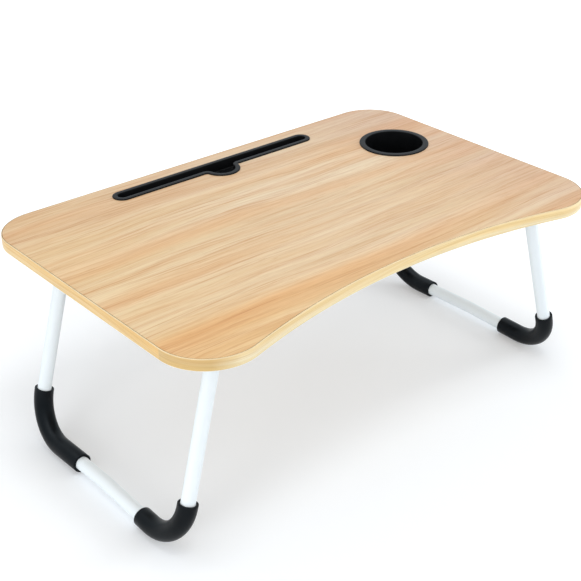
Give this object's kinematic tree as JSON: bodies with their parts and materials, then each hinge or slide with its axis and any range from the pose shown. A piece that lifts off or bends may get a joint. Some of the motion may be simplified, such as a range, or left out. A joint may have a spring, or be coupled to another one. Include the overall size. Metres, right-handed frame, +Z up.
{
  "type": "folding laptop table",
  "caption": "Low folding laptop table: curved wood-grain top with a tablet slot and cup holder, on bent tube legs with rubber foot sleeves that fold flat underneath.",
  "frame": {"origin": "on the floor, under the middle of the table's overall box", "axes": "+Z up, +X along the length towards the cup holder, -Y towards the sitter and the hollowed front edge"},
  "size_m": [0.615, 0.4, 0.2552],
  "materials": {
    "oak_decor": "satin melamine laminate with a straight oak grain along the length",
    "oak_backing": "matt melamine laminate",
    "oak_band": "satin printed edge band",
    "core_board": "raw fibreboard",
    "black_plastic": "satin moulded plastic",
    "white_coat": "semi-gloss powder coat",
    "black_rubber": "matt rubber",
    "bright_steel": "zinc plated",
    "white_nylon": "natural nylon"
  },
  "bodies": {
    "tabletop": {"board_core": "core_board", "top_laminate": "oak_decor", "underside_laminate": "oak_backing", "edge_band": "oak_band", "tablet_slot_insert": "black_plastic", "cup_holder_insert": "black_plastic", "hinge_bracket_left_front": "black_plastic", "hinge_rivet_left_front": "bright_steel", "rivet_washer_left_front": "bright_steel", "bracket_screws_left_front": "bright_steel", "hinge_bracket_left_back": "black_plastic", "hinge_rivet_left_back": "bright_steel", "rivet_washer_left_back": "bright_steel", "bracket_screws_left_back": "bright_steel", "hinge_bracket_right_front": "black_plastic", "hinge_rivet_right_front": "bright_steel", "rivet_washer_right_front": "bright_steel", "bracket_screws_right_front": "bright_steel", "hinge_bracket_right_back": "black_plastic", "hinge_rivet_right_back": "bright_steel", "rivet_washer_right_back": "bright_steel", "bracket_screws_right_back": "bright_steel"},
    "left_leg": {"leg_tube_left": "white_coat", "tube_plug_left_front": "black_plastic", "saddle_washers_left_front": "white_nylon", "foot_sleeve_left_front": "black_rubber", "tube_plug_left_back": "black_plastic", "saddle_washers_left_back": "white_nylon", "foot_sleeve_left_back": "black_rubber"},
    "right_leg": {"leg_tube_right": "white_coat", "tube_plug_right_front": "black_plastic", "saddle_washers_right_front": "white_nylon", "foot_sleeve_right_front": "black_rubber", "tube_plug_right_back": "black_plastic", "saddle_washers_right_back": "white_nylon", "foot_sleeve_right_back": "black_rubber"}
  },
  "joints": [
    {"name": "left_leg_fold", "type": "hinge", "parent": "tabletop", "child": "left_leg", "pos_m": [-0.237, -0.004, 0.22501], "axis": [0, -1, 0], "range_deg": [0, 105.5]},
    {"name": "right_leg_fold", "type": "hinge", "parent": "tabletop", "child": "right_leg", "pos_m": [0.237, -0.004, 0.22501], "axis": [0, 1, 0], "range_deg": [0, 105.5]}
  ]
}
